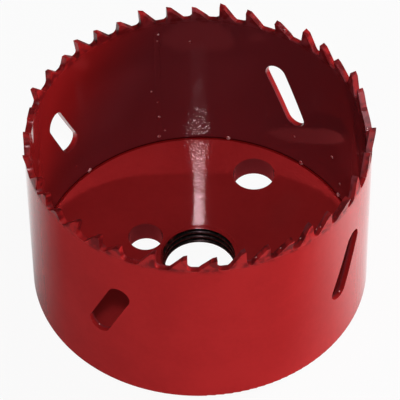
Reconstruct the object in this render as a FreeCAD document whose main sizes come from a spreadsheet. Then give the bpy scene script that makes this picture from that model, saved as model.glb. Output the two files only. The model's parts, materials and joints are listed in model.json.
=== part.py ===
import FreeCAD, Part
import math
import os
import Sketcher
from FreeCAD import Placement, Rotation, Vector

# Cup-shaped hole saw, standing on its end cap with the teeth up.
# Its axis is Z, and the origin is the middle of the cap's underside.
# Azimuths turn from +X towards +Y, and the teeth cut that way round.

SIZES = (
    ("body_radius", 34.4, "outside of the shell below the teeth"),
    ("wall", 1.25, "thickness of the rolled strip"),
    ("tip_height", 43.25, "tooth tips above the underside of the cap"),
    ("shell_base", 1.5, "lower edge of the shell above the underside of the cap"),
    ("base_round", 0.4, "rounding of the shell's lower outer edge"),
    ("gullet_depth", 3.15, "tips down to the floor of the tightest gullet"),
    ("depth_gain", 0.1, "extra gullet depth for each step of pitch"),
    ("gullet_radius", 0.9, "hollow under each cutting face"),
    ("root_gap", 0.25, "floor left in the tightest gullet"),
    ("root_radius", 0.4, "blend where the floor turns up into the next tooth"),
    ("pitch_step", 0.51, "difference between neighbouring pitch sizes"),
    ("relief_run", 1.0, "length of the flatter back behind each tip"),
    ("relief_angle", 20.0, "fall of that flatter back"),
    ("set_reach", 0.6, "how far a bent tip stands out of the wall"),
    ("bend_rise", 0.35, "bend line above the floor of the tightest gullet"),
    ("band_height", 1.2, "rim carried below the floor of the tightest gullet"),
    ("first_tooth", -1.3, "azimuth of the first cutting face"),
    ("slot_length", 16.0, "overall length of a side slot"),
    ("slot_width", 4.7, "width of a side slot"),
    ("slot_height", 22.9, "middle of the side slots above the underside of the cap"),
    ("slot_lean", 24.8, "lean of the side slots from upright"),
    ("slot_right_back", 56.5, "azimuth of the first side slot"),
    ("slot_left_back", 147.0, "azimuth of the second side slot"),
    ("slot_left_front", 238.6, "azimuth of the third side slot"),
    ("slot_right_front", 327.0, "azimuth of the fourth side slot"),
    ("cap_thickness", 4.9, "thickness of the end cap"),
    ("cap_bevel", 0.6, "bevel on both edges of the cap"),
    ("thread_radius", 7.94, "arbor bore at the roots of its thread"),
    ("mouth_radius", 8.2, "countersink at both ends of the arbor thread"),
    ("pin_radius", 3.6, "drive-pin hole"),
    ("pin_circle", 12.35, "drive-pin holes from the axis"),
    ("pin_azimuth", 154.8, "azimuth of the first drive-pin hole"),
    ("push_radius", 4.4, "hole for pushing the waste disc out"),
    ("push_margin", 3.55, "metal between a push-out hole and the shell"),
    ("push_azimuth", 62.5, "azimuth of the first push-out hole"),
)

# Gap before each tooth, in pitch steps above the tightest pitch, once round the rim.
PITCH_STEPS = (
    4, 2, 1, 0, 0, 1, 1, 3, 4, 2, 2, 1, 2,
    1, 1, 0, 0, 1, 2, 1, 4, 3, 3, 0, 0, 0,
    2, 0, 4, 3, 2, 2, 0, 0, 1, 0, 1, 2, 4,
)
# Which way the teeth are bent, repeated round the rim: out, in, straight.
BENDS = (1, -1, 0)
SLOT_NAMES = ("slot_right_back", "slot_left_back", "slot_left_front", "slot_right_front")
# How far each cutting shape runs past the faces that it cuts.
SLACK = 1.0
# Spare height of the rim above the tips before they are cut.
TRIM = 0.3
# Two points closer than this are one corner.
TOUCHING = 1e-6
UPRIGHT = Rotation(Vector(1, 0, 0), 90)
FACING_OUT = Rotation(Vector(1, 1, 1), 120)

doc = FreeCAD.newDocument("hole_saw")
sheet = doc.addObject("Spreadsheet::Sheet", "sizes")


# A length or an angle, held both as a number and as a formula on the sheet.
class Size:
    def __init__(self, value, formula):
        self.value = value
        self.formula = formula

    def __add__(self, other):
        other = as_size(other)
        return Size(self.value + other.value, f"({self.formula} + {other.formula})")

    def __sub__(self, other):
        other = as_size(other)
        return Size(self.value - other.value, f"({self.formula} - {other.formula})")

    def __mul__(self, other):
        other = as_size(other)
        return Size(self.value * other.value, f"({self.formula} * {other.formula})")

    def __truediv__(self, other):
        other = as_size(other)
        return Size(self.value / other.value, f"({self.formula} / {other.formula})")


def as_size(number):
    return number if isinstance(number, Size) else Size(float(number), f"({float(number)!r})")


def tangent(angle):
    return Size(math.tan(math.radians(angle.value)), f"tan({angle.formula})")


def cosine(angle):
    return Size(math.cos(math.radians(angle.value)), f"cos({angle.formula})")


def sine(angle):
    return Size(math.sin(math.radians(angle.value)), f"sin({angle.formula})")


def climb(rise, run):
    degrees = math.degrees(math.atan(rise.value / run.value))
    return Size(degrees, f"(atan({rise.formula} / {run.formula}) / 1 deg)")


for row, (name, value, meaning) in enumerate(SIZES, start=1):
    sheet.set(f"A{row}", name)
    sheet.set(f"B{row}", str(value))
    sheet.set(f"C{row}", meaning)
    sheet.setAlias(f"B{row}", name)
doc.recompute()
size = {name: Size(value, f"sizes.{name}") for name, value, meaning in SIZES}

# Sizes worked out from the ones above.
inner_radius = size["body_radius"] - size["wall"]
rim_length = size["body_radius"] * (2 * math.pi)
tight_pitch = (rim_length - size["pitch_step"] * sum(PITCH_STEPS)) / len(PITCH_STEPS)
tight_floor = size["tip_height"] - size["gullet_depth"]
band_base = tight_floor - size["band_height"]
bend_line = tight_floor + size["bend_rise"]
cut_start = inner_radius - size["set_reach"] - SLACK
cut_reach = size["wall"] + size["set_reach"] * 2 + SLACK * 2
zero = as_size(0)


# Stand a finished shape at its azimuth round the axis.
def stand_at(thing, azimuth):
    thing.Placement = Placement(Vector(0, 0, 0), Rotation(Vector(0, 0, 1), azimuth.value))
    thing.setExpression("Placement.Rotation.Angle", azimuth.formula)


# Middle of the short arc of a given radius between two points. The side, left or right, is that
# of the way from the first point to the last.
def arc_middle(first, last, radius, side):
    chord = last - first
    left = Vector(-chord.y, chord.x, 0).normalize()
    half = chord.Length / 2
    rise = radius - math.sqrt(max(radius * radius - half * half, 0))
    return (first + last) / 2 + left * (rise if side == "left" else -rise)


# Add a named constraint to a sketch and tie it to its formula.
def tie(sketch, label, number, kind, *points):
    place = sketch.addConstraint(Sketcher.Constraint(kind, *points, number.value))
    sketch.renameConstraint(place, label)
    sketch.setExpression(f"Constraints.{label}", number.formula)


# Draw a closed outline in a sketch. Each entry is a corner, and may add the radius of the arc
# that leads on from it and the side of its chord that the arc lies on.
def draw_outline(sketch, path):
    points = [Vector(entry[0].value, entry[1].value, 0) for entry in path]
    count = len(path)
    starts = []
    for index, entry in enumerate(path):
        first = points[index]
        last = points[(index + 1) % count]
        if len(entry) == 2:
            sketch.addGeometry(Part.LineSegment(first, last), False)
        else:
            middle = arc_middle(first, last, entry[2].value, entry[3])
            sketch.addGeometry(Part.Arc(first, middle, last), False)
        at_start = sketch.getPoint(index, 1).distanceToPoint(first) < TOUCHING
        starts.append(1 if at_start else 2)
    for index, entry in enumerate(path):
        before = (index - 1) % count
        end_before = 3 - starts[before]
        sketch.addConstraint(Sketcher.Constraint("Coincident", before, end_before, index, starts[index]))
        tie(sketch, f"across{index}", entry[0], "DistanceX", -1, 1, index, starts[index])
        tie(sketch, f"up{index}", entry[1], "DistanceY", -1, 1, index, starts[index])
        if len(entry) > 2:
            tie(sketch, f"radius{index}", entry[2], "Radius", index)


# Half section through the axis, for turning.
def section_sketch(name, path):
    sketch = doc.addObject("Sketcher::SketchObject", name)
    sketch.Placement = Placement(Vector(0, 0, 0), UPRIGHT)
    draw_outline(sketch, path)
    return sketch


# Sketch that faces outwards, just inside the wall, for cutting through it.
def wall_sketch(name):
    sketch = doc.addObject("Sketcher::SketchObject", name)
    sketch.Placement = Placement(Vector(cut_start.value, 0, 0), FACING_OUT)
    sketch.setExpression("Placement.Base.x", cut_start.formula)
    return sketch


def revolved(name, sketch, angle, azimuth):
    ring = doc.addObject("Part::Revolution", name)
    ring.Source = sketch
    ring.Axis = Vector(0, 0, 1)
    ring.Base = Vector(0, 0, 0)
    ring.Angle = angle.value
    ring.setExpression("Angle", angle.formula)
    ring.Solid = True
    stand_at(ring, azimuth)
    return ring


# Cutting shape from inside the bent-in tips to outside the bent-out ones.
def cut_through_wall(name, sketch, azimuth):
    cutter = doc.addObject("Part::Extrusion", name)
    cutter.Base = sketch
    cutter.DirMode = "Custom"
    cutter.Dir = Vector(1, 0, 0)
    cutter.LengthFwd = cut_reach.value
    cutter.setExpression("LengthFwd", cut_reach.formula)
    cutter.Solid = True
    stand_at(cutter, azimuth)
    return cutter


# Plain wall from the lower edge to just under the gullets.
def wall_ring():
    outside = size["body_radius"]
    rounding = size["base_round"]
    base = size["shell_base"]
    section = section_sketch("wall_section", (
        (inner_radius, base),
        (outside - rounding, base, rounding, "right"),
        (outside, base + rounding),
        (outside, band_base),
        (inner_radius, band_base),
    ))
    return revolved("wall_ring", section, as_size(360), zero)


# Section of the rim through one tooth, bent out, bent in or straight. It stands above the tips,
# so that the cuts alone shape them.
def rim_section(bend):
    outside = size["body_radius"]
    crown = size["tip_height"] + TRIM
    if bend == 0:
        return section_sketch("straight_section", (
            (inner_radius, band_base),
            (outside, band_base),
            (outside, crown),
            (inner_radius, crown),
        ))
    shift = size["set_reach"] * bend * (crown - bend_line) / (size["tip_height"] - bend_line)
    return section_sketch("outward_section" if bend > 0 else "inward_section", (
        (inner_radius, band_base),
        (outside, band_base),
        (outside, bend_line),
        (outside + shift, crown),
        (inner_radius + shift, crown),
        (inner_radius, bend_line),
    ))


# Opening between two cutting faces, for one size of pitch. Across is measured along the rim
# from the first face.
def gullet_outline(steps):
    pitch = tight_pitch + size["pitch_step"] * steps
    depth = size["gullet_depth"] + size["depth_gain"] * steps
    floor = size["tip_height"] - depth
    hollow = size["gullet_radius"]
    root = size["root_radius"]
    relief = tangent(size["relief_angle"])
    relief_start = pitch - size["relief_run"]
    relief_drop = size["relief_run"] * relief
    foot = hollow + size["root_gap"] + size["pitch_step"] * steps
    back_angle = climb(depth - relief_drop, relief_start - foot)
    blend = root * tangent(back_angle / 2)
    sketch = wall_sketch(f"gullet_outline_{steps}")
    draw_outline(sketch, (
        (zero, size["tip_height"] + SLACK),
        (zero, floor + hollow, hollow, "right"),
        (hollow, floor),
        (foot - blend, floor, root, "right"),
        (foot + blend * cosine(back_angle), floor + blend * sine(back_angle)),
        (relief_start, size["tip_height"] - relief_drop),
        (pitch + SLACK, size["tip_height"] + relief * SLACK),
        (pitch + SLACK, size["tip_height"] + SLACK),
    ))
    return sketch


# Rim with every tooth, and the shapes that cut its gullets.
def toothed_rim():
    sections = {bend: rim_section(bend) for bend in BENDS}
    outlines = {steps: gullet_outline(steps) for steps in sorted(set(PITCH_STEPS))}
    per_length = as_size(180 / math.pi) / size["body_radius"]
    seam = (size["gullet_radius"] + size["root_gap"] / 2) * per_length
    sectors = []
    gullets = []
    travel = zero
    for tooth, steps in enumerate(PITCH_STEPS):
        pitch = tight_pitch + size["pitch_step"] * steps
        if tooth > 0:
            travel = travel + pitch
        previous_face = size["first_tooth"] + (travel - pitch) * per_length
        section = sections[BENDS[tooth % len(BENDS)]]
        sectors.append(revolved(f"tooth_{tooth + 1}", section, pitch * per_length, previous_face + seam))
        gullets.append(cut_through_wall(f"gullet_{tooth + 1}", outlines[steps], previous_face))
    return sectors, gullets


# Slot rounded at both ends and leaning from upright, drawn about the middle of its length.
def slot_outline():
    half_width = size["slot_width"] / 2
    half_run = (size["slot_length"] - size["slot_width"]) / 2
    lean = size["slot_lean"]
    across = half_run * sine(lean)
    up = half_run * cosine(lean)
    along = Vector(sine(lean).value, cosine(lean).value, 0)
    aside = Vector(along.y, -along.x, 0) * half_width.value
    middle = Vector(0, size["slot_height"].value, 0)
    low = middle - along * half_run.value
    high = middle + along * half_run.value
    bulge = along * half_width.value
    sketch = wall_sketch("slot_outline")
    sketch.addGeometry(Part.LineSegment(low + aside, high + aside), False)
    sketch.addGeometry(Part.Arc(high + aside, high + bulge, high - aside), False)
    sketch.addGeometry(Part.LineSegment(high - aside, low - aside), False)
    sketch.addGeometry(Part.Arc(low - aside, low - bulge, low + aside), False)
    for edge in range(4):
        sketch.addConstraint(Sketcher.Constraint("Tangent", edge, 2, (edge + 1) % 4, 1))
    sketch.addConstraint(Sketcher.Constraint("Equal", 1, 3))
    tie(sketch, "half_width", half_width, "Radius", 1)
    tie(sketch, "high_across", across, "DistanceX", -1, 1, 1, 3)
    tie(sketch, "high_up", size["slot_height"] + up, "DistanceY", -1, 1, 1, 3)
    tie(sketch, "low_across", across, "DistanceX", 3, 3, -1, 1)
    tie(sketch, "low_up", size["slot_height"] - up, "DistanceY", -1, 1, 3, 3)
    return sketch


# Rolled strip with its teeth cut into the upper edge and four slots through the wall.
def make_shell():
    sectors, gullets = toothed_rim()
    blank = doc.addObject("Part::MultiFuse", "shell_blank")
    blank.Shapes = [wall_ring()] + sectors
    blank.Refine = True
    outline = slot_outline()
    cuts = doc.addObject("Part::MultiFuse", "shell_cuts")
    cuts.Shapes = gullets + [cut_through_wall(f"cut_{name}", outline, size[name]) for name in SLOT_NAMES]
    shell = doc.addObject("Part::Cut", "toothed_shell")
    shell.Base = blank
    shell.Tool = cuts
    shell.Refine = True
    shell.Label = "toothed_shell"
    return shell


def plane_of(body, role):
    return next(plane for plane in body.Origin.OriginFeatures if plane.Role == role)


# A hole through the cap away from its middle, and the same hole opposite it.
def hole_pair(body, name, radius, distance, azimuth):
    sketch = body.newObject("Sketcher::SketchObject", f"{name}_sketch")
    sketch.AttachmentSupport = [(plane_of(body, "XY_Plane"), "")]
    sketch.MapMode = "FlatFace"
    sketch.setExpression("AttachmentOffset.Rotation.Angle", azimuth.formula)
    sketch.addGeometry(Part.Circle(Vector(distance.value, 0, 0), Vector(0, 0, 1), radius.value), False)
    sketch.addConstraint(Sketcher.Constraint("PointOnObject", 0, 3, -1))
    tie(sketch, "radius", radius, "Radius", 0)
    tie(sketch, "distance", distance, "DistanceX", -1, 1, 0, 3)
    pocket = body.newObject("PartDesign::Pocket", f"{name}_cut")
    pocket.Profile = sketch
    pocket.Type = "ThroughAll"
    pocket.Midplane = True
    doc.recompute()
    pattern = body.newObject("PartDesign::PolarPattern", f"{name}_pair")
    pattern.Originals = [pocket]
    pattern.Axis = (plane_of(body, "Z_Axis"), [""])
    pattern.Angle = 360
    pattern.Occurrences = 2
    body.Tip = pattern
    doc.recompute()


# Turned steel disc with the arbor bore in the middle, bevelled where it meets the shell.
def make_cap():
    body = doc.addObject("PartDesign::Body", "end_cap")
    body.Label = "end_cap"
    section = body.newObject("Sketcher::SketchObject", "cap_section")
    section.AttachmentSupport = [(plane_of(body, "XZ_Plane"), "")]
    section.MapMode = "FlatFace"
    thickness = size["cap_thickness"]
    bevel = size["cap_bevel"]
    bore = size["thread_radius"]
    mouth = size["mouth_radius"]
    draw_outline(section, (
        (mouth, zero),
        (inner_radius - bevel, zero),
        (inner_radius, bevel),
        (inner_radius, thickness - bevel),
        (inner_radius - bevel, thickness),
        (mouth, thickness),
        (bore, thickness - mouth + bore),
        (bore, mouth - bore),
    ))
    disc = body.newObject("PartDesign::Revolution", "cap_disc")
    disc.Profile = section
    disc.ReferenceAxis = (section, ["V_Axis"])
    disc.Angle = 360
    doc.recompute()
    push_circle = inner_radius - size["push_margin"] - size["push_radius"]
    hole_pair(body, "drive_pin", size["pin_radius"], size["pin_circle"], size["pin_azimuth"])
    hole_pair(body, "push_out", size["push_radius"], push_circle, size["push_azimuth"])
    return body


parts = [make_shell(), make_cap()]
doc.recompute()
for thing in doc.Objects:
    if "Invalid" in thing.State or "Error" in thing.State:
        raise RuntimeError(f"{thing.Name} failed: {thing.State}")
os.makedirs("parts", exist_ok=True)
for part in parts:
    if part.Shape.isNull() or not part.Shape.isValid():
        raise RuntimeError(f"{part.Label} has no sound shape")
    part.Shape.exportStep(f"parts/{part.Label}.step")
    print(part.Label, len(part.Shape.Solids), "solids", round(part.Shape.Volume, 1), "mm3")
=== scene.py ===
import bmesh
import bpy
import json
import math
from mathutils import Matrix, Vector, noise


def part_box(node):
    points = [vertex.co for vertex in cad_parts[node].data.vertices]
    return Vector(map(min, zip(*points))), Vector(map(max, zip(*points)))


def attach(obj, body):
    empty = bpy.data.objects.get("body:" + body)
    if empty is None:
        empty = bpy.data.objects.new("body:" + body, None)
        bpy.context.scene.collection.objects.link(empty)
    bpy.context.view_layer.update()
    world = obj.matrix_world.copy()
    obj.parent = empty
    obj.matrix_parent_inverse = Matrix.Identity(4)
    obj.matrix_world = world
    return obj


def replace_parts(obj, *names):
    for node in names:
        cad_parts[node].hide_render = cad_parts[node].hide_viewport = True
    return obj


# A painted hole saw, teeth up, on a pale floor. Lengths are in metres unless a name says mm.
# Azimuths turn from +X towards +Y, and the photograph is taken from the -Y side.
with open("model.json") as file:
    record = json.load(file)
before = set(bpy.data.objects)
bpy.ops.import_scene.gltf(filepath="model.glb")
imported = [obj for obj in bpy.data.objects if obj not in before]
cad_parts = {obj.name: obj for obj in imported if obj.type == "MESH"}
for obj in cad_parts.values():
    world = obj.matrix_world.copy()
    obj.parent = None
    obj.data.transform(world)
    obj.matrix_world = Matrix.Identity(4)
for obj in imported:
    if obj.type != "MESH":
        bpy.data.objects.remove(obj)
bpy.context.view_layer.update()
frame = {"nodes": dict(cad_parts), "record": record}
mm = 0.001
shellNode = frame["nodes"]["toothed_shell"]
capNode = frame["nodes"]["end_cap"]
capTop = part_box("end_cap")[1].z
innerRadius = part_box("end_cap")[1].x  # the cap fills the shell, so its edge is the shell's inside
threadMount = next(mount for mount in frame["record"]["mounts"] if mount["name"] == "arbor_thread")
threadRoot = threadMount["dims"]["r_mm"] * mm
threadLength = threadMount["dims"]["length_mm"] * mm


# Shader maths: one class for a socket that can be added, scaled and compared.
class Wire:
    def __init__(self, shader, socket):
        self.shader = shader
        self.socket = socket

    def calc(self, operation, *others):
        return self.shader.node("ShaderNodeMath", {"operation": operation}, [self, *others])

    def __add__(self, other):
        return self.calc("ADD", other)

    def __sub__(self, other):
        return self.calc("SUBTRACT", other)

    def __rsub__(self, other):
        return self.shader.node("ShaderNodeMath", {"operation": "SUBTRACT"}, [other, self])

    def __mul__(self, other):
        return self.calc("MULTIPLY", other)

    __radd__ = __add__
    __rmul__ = __mul__

    def most(self, other):
        return self.calc("MAXIMUM", other)

    def size(self):
        return self.calc("ABSOLUTE")

    # 0 below low, 1 above high, smooth between them
    def rise(self, low, high):
        sockets = {"Value": self, "From Min": low, "From Max": high}
        return self.shader.node("ShaderNodeMapRange", {"interpolation_type": "SMOOTHSTEP"}, sockets)


class Shader:
    def __init__(self, tree):
        self.tree = tree
        tree.nodes.clear()

    # Any node: its settings first, then its sockets by name or in order. Gives one output back, if it
    # has any.
    def node(self, kind, settings=None, sockets=None, out=0):
        made = self.tree.nodes.new(kind)
        for name, value in (settings or {}).items():
            setattr(made, name, value)
        pairs = sockets.items() if isinstance(sockets, dict) else enumerate(sockets or [])
        for name, value in pairs:
            if isinstance(value, Wire):
                self.tree.links.new(value.socket, made.inputs[name])
            else:
                made.inputs[name].default_value = value
        return Wire(self, made.outputs[out]) if made.outputs else made

    def mix(self, share, first, second):
        return self.node("ShaderNodeMix", {"data_type": "RGBA"}, {0: share, 6: first, 7: second}, out=2)

    def place(self):
        return self.node("ShaderNodeTexCoord", out="Object")

    def right(self, place):
        return self.node("ShaderNodeSeparateXYZ", None, [place], out="X")

    def height(self, place):
        return self.node("ShaderNodeSeparateXYZ", None, [place], out="Z")

    # Distance from the saw's axis
    def reach(self, place):
        flat = self.node("ShaderNodeVectorMath", {"operation": "MULTIPLY"}, [place, (1, 1, 0)])
        return self.node("ShaderNodeVectorMath", {"operation": "LENGTH"}, [flat], out="Value")

    def noise(self, place, perMm, detail):
        sockets = {"Vector": place, "Scale": perMm / mm, "Detail": detail}
        return self.node("ShaderNodeTexNoise", {"noise_dimensions": "3D"}, sockets)

    def bump(self, height, depth, under=None):
        sockets = {"Height": height, "Distance": depth, "Strength": 1.0}
        if under:
            sockets["Normal"] = under
        return self.node("ShaderNodeBump", None, sockets)


def freshMaterial(name):
    material = bpy.data.materials.new(name)
    material.use_nodes = True
    return material, Shader(material.node_tree)


def finishMaterial(material, shader, surface):
    shader.node("ShaderNodeOutputMaterial", None, {"Surface": surface})
    return material


def colour(red, green, blue):
    return (red, green, blue, 1.0)


black = colour(0, 0, 0)
white = colour(1, 1, 1)

# Gloss red enamel over steel, faintly mottled, with orange peel. A pair of values says where a
# change begins and ends.
paintLook = {
    "red": colour(0.43, 0.0165, 0.0180),
    "deepRed": colour(0.385, 0.0135, 0.0150),
    "patchPerMm": 0.09,
    "patchShare": 0.7,
    "mottlePerMm": 0.9,
    "tone": (0.35, 0.65),
    # Painted shade with a grey painted sheen inside the cup, and painted light towards its upper left
    "insidePaintedShading": colour(0.245, 0.0310, 0.0400),
    "insideEdge": 0.7 * mm,
    "insideFoot": 0.3 * mm,
    "paintedLightRed": colour(0.36, 0.0120, 0.0130),
    "paintedLightLean": 0.6,
    "paintedLightReach": (23 * mm, 43 * mm),
    # Painted shade down the cap's holes
    "holeShadeRed": colour(0.27, 0.0240, 0.0300),
    "holesFrom": (8.4 * mm, 8.7 * mm),
    "holesUntil": (30 * mm, 31 * mm),
    "holeFoot": (0.05 * mm, 0.2 * mm),
    "holeHead": (-0.35 * mm, -0.1 * mm),  # from the cap's top
    "toothRed": colour(0.17, 0.0060, 0.0080),
    "toothFoot": (38.6 * mm, 40.4 * mm),
    "toothPatchPerMm": 0.55,
    "toothPatch": (0.44, 0.60),
    "toothRoughness": 0.30,
    "jointRed": colour(0.07, 0.0035, 0.0040),
    "jointWidth": 0.28 * mm,
    "jointCore": 0.4,  # the share of its width that is fully dark
    "roughness": 0.055,
    "roughnessVaries": 0.03,
    "gloss": 0.5,
    "peelPerMm": 1.8,
    "peelDepth": 0.006 * mm,
    "jointPeelDepth": 0.040 * mm,
    "jointPeelUp": 10 * mm,
    "jointPeelIn": 12 * mm,
    "lumpPerMm": 0.22,
    "lumpDepth": 0.012 * mm,
}

capPaintLook = {
    **paintLook,
    "red": colour(0.47, 0.0250, 0.0270),
    "deepRed": colour(0.43, 0.0220, 0.0240),
    "peelDepth": 0.014 * mm,
}


# The joint between cap and shell, where the paint has shrunk into the corner
def jointMask(height, reach, look):
    away = (height - capTop).size().most((reach - innerRadius).size())
    return 1 - away.rise(look["jointWidth"] * look["jointCore"], look["jointWidth"])


# The walls of the cap's holes beside the arbor bore, where shade is painted
def holeShadeMask(height, reach, look):
    ring = reach.rise(*look["holesFrom"]) * (1 - reach.rise(*look["holesUntil"]))
    return ring * height.rise(*look["holeFoot"]) * (1 - (height - capTop).rise(*look["holeHead"]))


def paintSurface(shader, place, look):
    height = shader.height(place)
    reach = shader.reach(place)
    patches = shader.noise(place, look["patchPerMm"], detail=3.0)
    mottle = shader.noise(place, look["mottlePerMm"], detail=2.0)
    tone = (patches * look["patchShare"] + mottle * (1 - look["patchShare"])).rise(*look["tone"])
    red = shader.mix(tone, look["deepRed"], look["red"])
    # Painted shade and sheen: the wall's inside is a darker, greyish red, and painted light makes it
    #     # a clearer red towards its upper left.
    within = 1 - reach.rise(innerRadius, innerRadius + look["insideEdge"])
    upperLeft = (height - capTop) * look["paintedLightLean"] - shader.right(place)
    insidePaintedShading = shader.mix(upperLeft.rise(*look["paintedLightReach"]), look["insidePaintedShading"], look["paintedLightRed"])
    red = shader.mix(within * height.rise(capTop, capTop + look["insideFoot"]), red, insidePaintedShading)
    # Down the cap's holes shade is painted as a darker red, and on the teeth the paint is thin and patchy.
    red = shader.mix(holeShadeMask(height, reach, look), red, look["holeShadeRed"])
    toothed = height.rise(*look["toothFoot"])
    patchy = shader.noise(place, look["toothPatchPerMm"], detail=3.0).rise(*look["toothPatch"])
    red = shader.mix(patchy * toothed, red, look["toothRed"])
    red = shader.mix(jointMask(height, reach, look), red, look["jointRed"])
    # The enamel lies roughest round the joint in the cup, where it has pooled.
    low = 1 - height.rise(capTop, capTop + look["jointPeelUp"])
    outward = reach.rise(innerRadius - look["jointPeelIn"], innerRadius)
    rough = within * low * outward * (look["jointPeelDepth"] / look["peelDepth"] - 1)
    peel = shader.noise(place, look["peelPerMm"], detail=0.0) * (rough + 1)
    lumps = shader.noise(place, look["lumpPerMm"], detail=1.0)
    roughness = look["roughness"] + mottle * look["roughnessVaries"] + toothed * look["toothRoughness"]
    return shader.node("ShaderNodeBsdfPrincipled", None, {
        "Base Color": red,
        "Roughness": roughness,
        "Normal": shader.bump(peel, look["peelDepth"], under=shader.bump(lumps, look["lumpDepth"])),
        "Specular IOR Level": look["gloss"],
    })


def paintShader():
    material, shader = freshMaterial("red gloss paint")
    return finishMaterial(material, shader, paintSurface(shader, shader.place(), paintLook))


# The red of the weld beads and paint drops, with pale patches painted on as glints
glintBeadLook = {
    # pale patches painted on as glints
    "pale": colour(0.80, 0.45, 0.46),
    "red": colour(0.40, 0.03, 0.035),
    "glintsPerMm": 1.6,
    "glints": (0.40, 0.62),
    "roughness": 0.16,
    "roughnessVaries": 0.1,
}


def glintBeadShader():
    look = glintBeadLook
    material, shader = freshMaterial("red paint with painted glints")
    glints = shader.noise(shader.place(), look["glintsPerMm"], detail=3.0)
    surface = shader.node("ShaderNodeBsdfPrincipled", None, {
        "Base Color": shader.mix(glints.rise(*look["glints"]), look["red"], look["pale"]),
        "Roughness": look["roughness"] + glints * look["roughnessVaries"],
    })
    return finishMaterial(material, shader, surface)


# Black bare steel of the arbor thread, masked off before the saw was painted. The cap's paint
# runs a little way down the bore and ends there in a soft ragged edge.
bareLook = {
    "black": colour(0.0065, 0.0065, 0.0060),
    "worn": colour(0.015, 0.015, 0.013),
    "grimePerMm": 0.8,
    "grime": (0.4, 0.7),
    "roughness": 0.16,
    "roughnessVaries": 0.2,
    "gloss": 0.22,
    "scratchPerMm": 3.0,
    "scratchDepth": 0.012 * mm,
    "paintReach": (7.95 * mm, 8.7 * mm),
    "paintDown": (0.95 * mm, 0.285 * mm),  # below the cap's top
    "ragged": 0.8 * mm,
    "raggedPerMm": 0.7,
}


def bareSurface(shader, place, look):
    grime = shader.noise(place, look["grimePerMm"], detail=3.0)
    scratches = shader.noise(place, look["scratchPerMm"], detail=2.0)
    return shader.node("ShaderNodeBsdfPrincipled", None, {
        "Base Color": shader.mix(grime.rise(*look["grime"]), look["black"], look["worn"]),
        "Roughness": look["roughness"] + grime * look["roughnessVaries"],
        "Normal": shader.bump(scratches, look["scratchDepth"]),
        "Specular IOR Level": look["gloss"],
    })


def capShader():
    look = bareLook
    material, shader = freshMaterial("red paint with a bare bore")
    place = shader.place()
    ragged = (shader.noise(place, look["raggedPerMm"], detail=4.0) - 0.5) * look["ragged"]
    low, high = look["paintDown"]
    outward = (shader.reach(place) + ragged).rise(*look["paintReach"])
    upward = (shader.height(place) + ragged).rise(capTop - low, capTop - high)
    bare = bareSurface(shader, place, look)
    paint = paintSurface(shader, place, capPaintLook)
    surface = shader.node("ShaderNodeMixShader", None, [outward.most(upward), bare, paint])
    return finishMaterial(material, shader, surface)


redPaint = paintShader()
capPaint = capShader()
glintBeadPaint = glintBeadShader()
print("materials made")


def addObject(mesh, name):
    data = bpy.data.meshes.new(name)
    mesh.to_mesh(data)
    mesh.free()
    made = bpy.data.objects.new(name, data)
    bpy.context.scene.collection.objects.link(made)
    return made


def addPiece(mesh, name, material):
    for face in mesh.faces:
        face.smooth = True
    piece = addObject(mesh, name)
    piece.data.materials.append(material)
    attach(piece, "root")
    return piece


def evenNormals(piece):
    even = piece.modifiers.new("even normals", "WEIGHTED_NORMAL")
    even.mode = "FACE_AREA"
    even.keep_sharp = True


# The painted shell and cap: the steel ones with their sharp edges rounded by the paint
paintedLook = {
    "weld": 0.002 * mm,
    "flat": math.radians(0.6),
    "sharp": math.radians(28),
    "round": 0.15 * mm,
    "segments": 3,
}


def makePainted(node, name, material):
    look = paintedLook
    mesh = bmesh.new()
    mesh.from_mesh(node.data)
    bmesh.ops.remove_doubles(mesh, verts=mesh.verts, dist=look["weld"])
    bmesh.ops.dissolve_limit(mesh, angle_limit=look["flat"], verts=mesh.verts, edges=mesh.edges,
                             delimit={"NORMAL"})
    sharp = [edge for edge in mesh.edges if edge.calc_face_angle() > look["sharp"]]
    bmesh.ops.bevel(mesh, geom=sharp, offset=look["round"], offset_type="OFFSET", segments=look["segments"],
                    profile=0.5, affect="EDGES", clamp_overlap=True, material=-1)
    piece = addPiece(mesh, name, material)
    evenNormals(piece)
    return piece


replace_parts(makePainted(shellNode, "painted_shell", redPaint), "toothed_shell")
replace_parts(makePainted(capNode, "painted_cap", capPaint), "end_cap")
print("shell and cap painted")


# The arbor thread's ridge, wound up the bore and cut level with the ends of its straight wall
threadLook = {
    "pitch": 1.411 * mm,  # 18 turns to the inch
    "crest": 7.30 * mm,
    "sunk": 0.04 * mm,
    "rootHalf": 0.60 * mm,
    "crestHalf": 0.16 * mm,
    "crestRound": 0.07 * mm,
    "steps": 96,
    "spareTurns": 2,
    "cutFuzz": 0.001 * mm,
}


# Half of the ridge's section, from its root in the wall to its crest: distance from the axis, half width
def threadHalf(look):
    side = look["crestHalf"] + look["crestRound"]
    return [(threadRoot + look["sunk"], look["rootHalf"]), (look["crest"] + look["crestRound"], side),
            (look["crest"], look["crestHalf"])]


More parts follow.
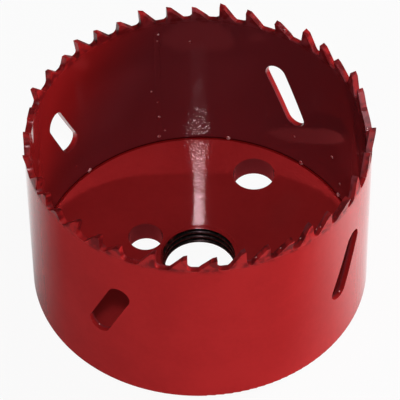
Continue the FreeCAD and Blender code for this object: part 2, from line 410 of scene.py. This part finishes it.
def makeThread():
    look = threadLook
    low = threadMount["pos_m"][2] - threadLength / 2
    high = low + threadLength
    start = low - look["pitch"]
    turns = math.ceil(threadLength / look["pitch"]) + look["spareTurns"]
    half = threadHalf(look)
    profile = [(reach, -width) for reach, width in half] + list(reversed(half))
    mesh = bmesh.new()
    mesh.faces.new([mesh.verts.new((reach, 0, start + rise)) for reach, rise in profile])
    bmesh.ops.spin(mesh, geom=mesh.verts[:] + mesh.edges[:] + mesh.faces[:], cent=(0, 0, 0),
                   axis=(0, 0, 1), dvec=(0, 0, look["pitch"] / look["steps"]),
                   angle=math.tau * turns, steps=look["steps"] * turns)
    for level, way in ((low, -1), (high, 1)):
        bmesh.ops.bisect_plane(mesh, geom=mesh.verts[:] + mesh.edges[:] + mesh.faces[:],
                               dist=look["cutFuzz"], plane_co=(0, 0, level), plane_no=(0, 0, way),
                               clear_outer=True)
        bmesh.ops.holes_fill(mesh, edges=[edge for edge in mesh.edges if edge.is_boundary], sides=0)
    bmesh.ops.recalc_face_normals(mesh, faces=mesh.faces)
    evenNormals(addPiece(mesh, "arbor_thread_ridge", capPaint))


makeThread()
print("arbor thread wound")


def onWall(azimuth, height, depth):
    reach = innerRadius - depth
    return Vector((reach * math.cos(azimuth), reach * math.sin(azimuth), height))


# The butt weld of the rolled strip: a low, uneven bead up the inside of the shell
seamLook = {
    "azimuth": math.radians(104.3),
    "low": 5.2 * mm,
    "high": 37.6 * mm,
    "halfWidth": 0.60 * mm,
    "proud": 0.030 * mm,
    "sway": 0.10 * mm,
    "swayPerMm": 0.55,
    "swell": 0.6,
    "swellScale": 1.7,  # how many times closer together the swells come than the sways
    "swellFrom": Vector((5, 0, 0)),
    "rings": 130,
    "sides": 12,
}


def makeSeam():
    look = seamLook
    mesh = bmesh.new()
    bmesh.ops.create_cone(mesh, cap_ends=True, segments=look["sides"], radius1=1, radius2=1, depth=1)
    uprights = [edge for edge in mesh.edges if abs(edge.verts[0].co.z - edge.verts[1].co.z) > 0.5]
    bmesh.ops.subdivide_edges(mesh, edges=uprights, cuts=look["rings"], use_grid_fill=True)
    for vert in mesh.verts:
        height = look["low"] + (vert.co.z + 0.5) * (look["high"] - look["low"])
        place = Vector((0, 0, height / mm * look["swayPerMm"]))
        sway = noise.noise(place) * look["sway"]
        swell = 1 + look["swell"] * noise.noise(place * look["swellScale"] + look["swellFrom"])
        across = sway + vert.co.x * look["halfWidth"] * swell
        depth = vert.co.y * look["proud"] * swell
        vert.co = onWall(look["azimuth"] + across / innerRadius, height, depth)
    bmesh.ops.recalc_face_normals(mesh, faces=mesh.faces)
    addPiece(mesh, "butt_weld_seam", redPaint)


makeSeam()
print("weld seam laid")


# Weld tacks at the joint of cap and shell, spatter, and drops of paint, all with pale glints painted on.
# Lengths here are in mm.
beadLook = {
    # Spatter on the wall: azimuth, height, size
    "spatter": [(104.3, 12.4, 0.30), (104.5, 6.5, 0.34), (104.5, 17.0, 0.24), (103.8, 36.9, 0.26),
                (104.2, 35.1, 0.22), (102.2, 8.0, 0.20), (106.9, 20.6, 0.18), (92.4, 33.7, 0.26),
                (52.4, 12.1, 0.24), (33.1, 14.3, 0.30), (27.4, 9.1, 0.26), (140.6, 9.4, 0.20),
                (-62.0, 11.5, 0.26), (-118.0, 7.2, 0.22)],
    # Drops on tooth flanks and slot ends: azimuth, height, distance from the axis
    "drops": [(-54.8, 40.9, 33.4), (-47.7, 40.4, 33.3), (-46.7, 41.1, 33.8), (-63.0, 41.4, 33.8),
              (-71.6, 41.0, 33.7), (-4.6, 41.6, 34.3), (3.0, 40.3, 33.5), (57.8, 41.7, 33.5),
              (-126.8, 15.6, 33.5), (-35.2, 15.7, 33.8), (53.9, 15.6, 33.3)],
    "dropSize": 0.17,
    "tacks": [78.9, 49.1, 28.5, -8.0, -41.0, -77.0, -114.0, -150.0, 172.0, 134.0],
    "tackSize": 0.42,
    "tackHeight": 5.15,
    "paintOver": 1.25,  # the paint makes each bead this much larger
    "flat": 0.55,
    "subdivisions": 3,
}


def makeBeads():
    look = beadLook
    wall = innerRadius / mm
    beads = [(azimuth, height, wall, size) for azimuth, height, size in look["spatter"]]
    beads += [(azimuth, look["tackHeight"], wall, look["tackSize"]) for azimuth in look["tacks"]]
    beads += [(*drop, look["dropSize"]) for drop in look["drops"]]
    mesh = bmesh.new()
    for azimuth, height, reach, size in beads:
        turn = math.radians(azimuth)
        lie = Matrix.Rotation(turn, 4, "Z") @ Matrix.Diagonal((look["flat"], 1, 1, 1))
        spot = Matrix.Translation(onWall(turn, height * mm, innerRadius - reach * mm)) @ lie
        bmesh.ops.create_icosphere(mesh, subdivisions=look["subdivisions"],
                                   radius=look["paintOver"] * size * mm, matrix=spot)
    addPiece(mesh, "weld_spatter", glintBeadPaint)


makeBeads()
print("weld beads set")


# The floor is white to the camera. In reflections it shows painted light and shade: bright close behind
# # the saw, as a table lit from behind is, a painted shadow in front of it, dim far off, and red and half
# as
# # bright under it as painted shade.
floorLook = {
    "size": 3.0,
    "pale": colour(0.86, 0.86, 0.86),
    "white": 0.93,
    "brightSide": math.radians(75),
    "brightReach": (-30 * mm, 18 * mm),
    "dim": 0.07,
    "bright": 1.0,
    "under": 0.5,
    "underTint": colour(1.0, 0.11, 0.12),
    "underEdge": (33 * mm, 35 * mm),
    "far": 0.12,
    "farEdge": (68 * mm, 105 * mm),
}


def floorShader():
    look = floorLook
    material, shader = freshMaterial("pale floor")
    place = shader.place()
    reach = shader.reach(place)
    behind = (math.cos(look["brightSide"]), math.sin(look["brightSide"]), 0)
    along = shader.node("ShaderNodeVectorMath", {"operation": "DOT_PRODUCT"}, [place, behind], out="Value")
    beside = along.rise(*look["brightReach"]) * (look["bright"] - look["dim"]) + look["dim"]
    clear = reach.rise(*look["underEdge"])
    level = beside * clear + (1 - clear) * look["under"]
    level = level * (1 - reach.rise(*look["farEdge"]) * (1 - look["far"]))
    tint = shader.mix(clear, look["underTint"], white)
    mirrored = shader.node("ShaderNodeEmission", None, {"Color": shader.mix(level, black, tint)})
    plain = shader.node("ShaderNodeBsdfDiffuse", None, {"Color": look["pale"]})
    shown = shader.node("ShaderNodeEmission", None, {"Color": white})
    glossy = shader.node("ShaderNodeLightPath", out="Is Glossy Ray")
    seen = shader.node("ShaderNodeLightPath", out="Is Camera Ray")
    unseen = shader.node("ShaderNodeMixShader", None, [glossy, plain, mirrored])
    surface = shader.node("ShaderNodeMixShader", None, [seen * look["white"], unseen, shown])
    return finishMaterial(material, shader, surface)


def makeFloor():
    mesh = bmesh.new()
    bmesh.ops.create_grid(mesh, x_segments=1, y_segments=1, size=floorLook["size"] / 2)
    floor = addObject(mesh, "floor")
    floor.data.materials.append(floorShader())


# The room: its colour to the camera, and the share of it that lights the saw or shows in reflections
worldLook = {"pale": colour(0.8, 0.8, 0.8), "soft": 0.02, "mirrored": 0.03}


def makeWorld():
    world = bpy.data.worlds.new("studio")
    world.use_nodes = True
    shader = Shader(world.node_tree)
    seen = shader.node("ShaderNodeLightPath", out="Is Camera Ray")
    glossy = shader.node("ShaderNodeLightPath", out="Is Glossy Ray")
    soft = worldLook["soft"]
    level = seen * (1 - soft) + soft + glossy * (worldLook["mirrored"] - soft)
    room = shader.node("ShaderNodeBackground", None, {"Color": shader.mix(level, black, worldLook["pale"])})
    shader.node("ShaderNodeOutputWorld", None, {"Surface": room})
    bpy.context.scene.world = world


def addLamp(name, width, height, energy, lie):
    lamp = bpy.data.lights.new(name, "AREA")
    lamp.shape = "RECTANGLE"
    lamp.size = width
    lamp.size_y = height
    lamp.energy = energy
    holder = bpy.data.objects.new(name, lamp)
    holder.matrix_world = lie
    holder.visible_camera = False
    bpy.context.scene.collection.objects.link(holder)
    return holder


# The glossy wall throws a crescent of light on the back of the cap. Small beams over the cap stand in
# for it, because light thrown by a mirror is mostly lost when the picture is rendered.
crescentLook = {
    "from": math.radians(24),
    "to": math.radians(156),
    "beams": 23,
    "widest": 10.5 * mm,
    "taper": 2.5,
    "above": 9 * mm,
    "spread": math.radians(7),
    "level": 0.09,
    "tipLevel": 0.28,
}


def makeCrescent():
    look = crescentLook
    step = (look["to"] - look["from"]) / look["beams"]
    for number in range(look["beams"]):
        turn = look["from"] + (number + 0.5) * step
        middle = math.sin(turn)
        width = look["widest"] * middle ** look["taper"]
        height = step * (innerRadius - width / 2)
        level = look["tipLevel"] + (look["level"] - look["tipLevel"]) * middle ** 2
        spot = Matrix.Translation(onWall(turn, capTop + look["above"], width / 2))
        lie = spot @ Matrix.Rotation(turn, 4, "Z")
        beam = addLamp(f"crescent beam {number + 1}", width, height, level * math.pi * width * height, lie)
        beam.data.spread = look["spread"]
        beam.visible_glossy = False


# Each lamp: azimuth, elevation, distance, width, height, how bright it makes a facing surface, whether
# it lights surfaces or shines in the gloss, and its tint if it has one. Strips stand low on the table.
lampLook = {
    "high lamp": (-90, 75, 0.8, 0.06, 0.06, 0.06, "light"),
    "middle lamp": (-89.5, 55, 0.8, 0.06, 0.06, 0.23, "light"),
    "high sheen": (-90, 75, 0.8, 0.06, 0.06, 0.25, "gloss", (1.0, 0.45, 0.50)),
    "right lamp": (19, 20, 0.8, 0.45, 0.34, 0.80, "light"),
    "front strip": (-30, 1, 0.8, 0.55, 0.05, 0.69, "light"),
    "left strip": (-150, 1, 0.8, 0.35, 0.05, 0.37, "light"),
    "streak lamp": (-90.2, 51.25, 0.9, 0.068, 0.031, 0.74, "gloss", (1.0, 0.66, 0.72)),
}
lampAim = Vector((0, 0, 20 * mm))


def makeLamp(name, azimuth, elevation, distance, width, height, level, use, tint=(1, 1, 1)):
    turn = math.radians(azimuth)
    lift = math.radians(elevation)
    way = Vector((math.cos(turn) * math.cos(lift), math.sin(turn) * math.cos(lift), math.sin(lift)))
    facing = way.to_track_quat("Z", "Y").to_matrix().to_4x4()
    lie = Matrix.Translation(lampAim + way * distance) @ facing
    lamp = addLamp(name, width, height, level * (math.pi * distance) ** 2, lie)
    lamp.data.color = tint
    lamp.visible_diffuse = use == "light"
    lamp.visible_glossy = use == "gloss"


makeFloor()
makeWorld()
makeCrescent()
for lampName, lampFacts in lampLook.items():
    makeLamp(lampName, *lampFacts)
print("floor and lights made")


# Camera at the photograph's viewing angle, its roll in degrees and its lens and sensor in mm
cameraLook = {
    "eye": Vector((0.0, -399.58, 469.08)) * mm,
    "aim": Vector((0.194, 0.0, 21.817)) * mm,
    "roll": -0.849,
    "lens": 267.456,
    "sensor": 36.0,
    "farthest": 10.0,
}


def makeCamera():
    look = cameraLook
    data = bpy.data.cameras.new("camera")
    data.lens = look["lens"]
    data.sensor_width = look["sensor"]
    data.clip_end = look["farthest"]
    camera = bpy.data.objects.new("camera", data)
    facing = (look["aim"] - look["eye"]).to_track_quat("-Z", "Y").to_matrix().to_4x4()
    roll = Matrix.Rotation(math.radians(look["roll"]), 4, "Z")
    camera.matrix_world = Matrix.Translation(look["eye"]) @ facing @ roll
    bpy.context.scene.collection.objects.link(camera)
    bpy.context.scene.camera = camera
    bpy.context.scene.view_settings.view_transform = "Standard"


makeCamera()
print("camera set")

bpy.context.view_layer.update()
